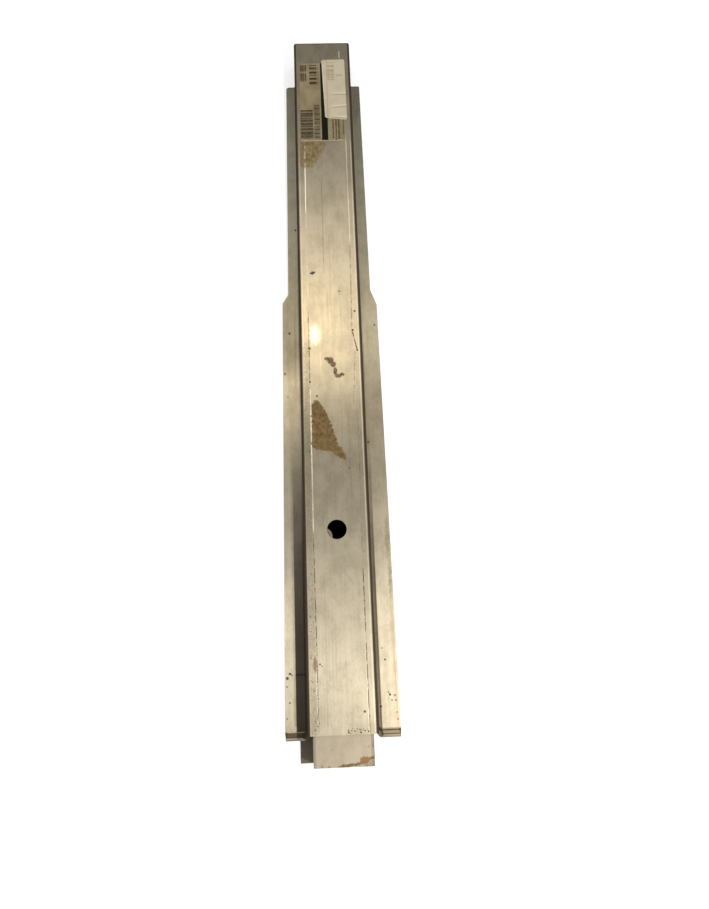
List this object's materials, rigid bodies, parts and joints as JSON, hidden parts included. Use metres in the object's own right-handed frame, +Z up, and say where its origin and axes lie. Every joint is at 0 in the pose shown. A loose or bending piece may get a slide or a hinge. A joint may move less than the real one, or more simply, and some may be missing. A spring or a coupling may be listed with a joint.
{
  "type": "chassis beam",
  "caption": "Long top-hat section of pressed sheet steel with stepped weld flanges, turned-up end lips, a nested inner channel that sticks out as a tongue, and one round hole.",
  "frame": {"origin": "middle of the footprint, on the underside of the weld flanges", "axes": "+Z up, from the flanges to the raised web; +Y along the beam, from the lip and tongue end to the plain end; +X to the right"},
  "size_m": [0.127, 0.9086, 0.0404],
  "materials": {
    "outer_steel": "bare drawn sheet, lightly stained with rust",
    "inner_steel": "bare drawn sheet, duller",
    "label_paper": "matt printed paper"
  },
  "bodies": {
    "root": {"outer_channel": "outer_steel", "inner_channel": "inner_steel", "parts_label": "label_paper", "stock_label": "label_paper"}
  },
  "joints": []
}
